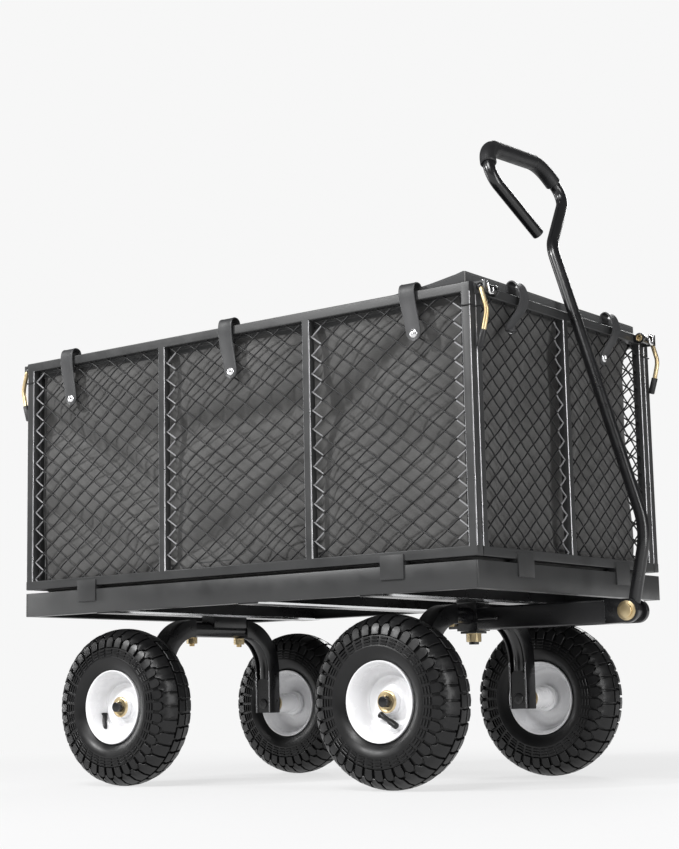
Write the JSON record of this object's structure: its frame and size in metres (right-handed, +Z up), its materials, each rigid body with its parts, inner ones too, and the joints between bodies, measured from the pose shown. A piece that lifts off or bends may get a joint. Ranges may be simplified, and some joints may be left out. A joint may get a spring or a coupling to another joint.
{
  "type": "garden cart",
  "caption": "Steel garden cart: mesh-sided basket with fabric liner on pneumatic wheels, steered by a kingpin axle and pulled by a bent-tube handle.",
  "frame": {"origin": "on the ground, below the middle of the cart's overall length and width", "axes": "+X towards the handle, +Y towards the cart's left side, +Z up"},
  "size_m": [1.086, 0.568, 1.0131],
  "materials": {
    "powder_coat": "satin charcoal powder coat",
    "gloss_black": "gloss black enamel",
    "zinc": "bright zinc plate",
    "brass": "yellow zinc plate",
    "foam": "matt black foam rubber",
    "tyre": "matt black rubber",
    "rim_white": "gloss white enamel",
    "liner": "woven coated polyester",
    "strap": "matt coated webbing",
    "snap": "polished"
  },
  "bodies": {
    "cart": {"bed_side_rail_left": "powder_coat", "bed_side_rail_right": "powder_coat", "bed_end_rail_front": "powder_coat", "bed_end_rail_rear": "powder_coat", "bed_floor": "powder_coat", "cross_member_front": "zinc", "cross_member_middle": "zinc", "cross_member_rear": "zinc", "rear_axle_arch": "gloss_black", "rear_leg_left": "gloss_black", "rear_leg_right": "gloss_black", "rear_stub_axles": "gloss_black", "rear_axle_nuts": "gloss_black", "rear_mount_bolts": "brass", "kingpin": "gloss_black", "kingpin_nut": "brass", "turntable_plate": "gloss_black", "side_panel_left": "powder_coat", "side_panel_right": "powder_coat", "end_panel_front": "powder_coat", "end_panel_rear": "powder_coat", "side_mesh_left": "powder_coat", "side_mesh_right": "powder_coat", "end_mesh_front": "powder_coat", "end_mesh_rear": "powder_coat", "latch_barrels": "gloss_black", "liner_body": "liner", "liner_straps": "strap", "strap_snaps": "snap"},
    "front_axle": {"kingpin_housing": "gloss_black", "front_axle_arch": "gloss_black", "front_leg_left": "gloss_black", "front_leg_right": "gloss_black", "front_stub_axles": "gloss_black", "front_axle_nuts": "gloss_black", "drawbar": "gloss_black", "drawbar_clevis": "gloss_black", "drawbar_bolt": "brass", "lock_pin": "gloss_black", "pivot_bolt": "brass"},
    "handle": {"handle_tube": "gloss_black", "handle_eye": "gloss_black", "foam_grip": "foam", "handle_end_cap": "foam"},
    "wheel_front_left": {"tyre_front_left": "tyre", "rim_front_left": "rim_white", "bearings_front_left": "brass"},
    "wheel_front_right": {"tyre_front_right": "tyre", "rim_front_right": "rim_white", "bearings_front_right": "brass"},
    "wheel_rear_left": {"tyre_rear_left": "tyre", "rim_rear_left": "rim_white", "bearings_rear_left": "brass"},
    "wheel_rear_right": {"tyre_rear_right": "tyre", "rim_rear_right": "rim_white", "bearings_rear_right": "brass"},
    "latch_front_left": {"latch_pin_front_left": "brass"},
    "latch_front_right": {"latch_pin_front_right": "brass"},
    "latch_rear_left": {"latch_pin_rear_left": "brass"},
    "latch_rear_right": {"latch_pin_rear_right": "brass"}
  },
  "joints": [
    {"name": "steering", "type": "hinge", "parent": "cart", "child": "front_axle", "pos_m": [0.22399, 0, 0.26], "axis": [0, 0, 1], "range_deg": [-10, 10]},
    {"name": "handle_pivot", "type": "hinge", "parent": "front_axle", "child": "handle", "pos_m": [0.50999, 0, 0.2575], "axis": [0, 1, 0], "range_deg": [0, 110]},
    {"name": "wheel_front_left", "type": "hinge", "parent": "front_axle", "child": "wheel_front_left", "pos_m": [0.22399, 0.231, 0.13], "axis": [0, 1, 0], "continuous": true},
    {"name": "wheel_front_right", "type": "hinge", "parent": "front_axle", "child": "wheel_front_right", "pos_m": [0.22399, -0.231, 0.13], "axis": [0, 1, 0], "continuous": true},
    {"name": "wheel_rear_left", "type": "hinge", "parent": "cart", "child": "wheel_rear_left", "pos_m": [-0.32401, 0.231, 0.13], "axis": [0, 1, 0], "continuous": true},
    {"name": "wheel_rear_right", "type": "hinge", "parent": "cart", "child": "wheel_rear_right", "pos_m": [-0.32401, -0.231, 0.13], "axis": [0, 1, 0], "continuous": true},
    {"name": "latch_front_left", "type": "slide", "parent": "cart", "child": "latch_front_left", "axis": [0, 1, 0], "range_m": [0, 0.03]},
    {"name": "latch_front_right", "type": "slide", "parent": "cart", "child": "latch_front_right", "axis": [0, -1, 0], "range_m": [0, 0.03]},
    {"name": "latch_rear_left", "type": "slide", "parent": "cart", "child": "latch_rear_left", "axis": [0, 1, 0], "range_m": [0, 0.03]},
    {"name": "latch_rear_right", "type": "slide", "parent": "cart", "child": "latch_rear_right", "axis": [0, -1, 0], "range_m": [0, 0.03]}
  ]
}
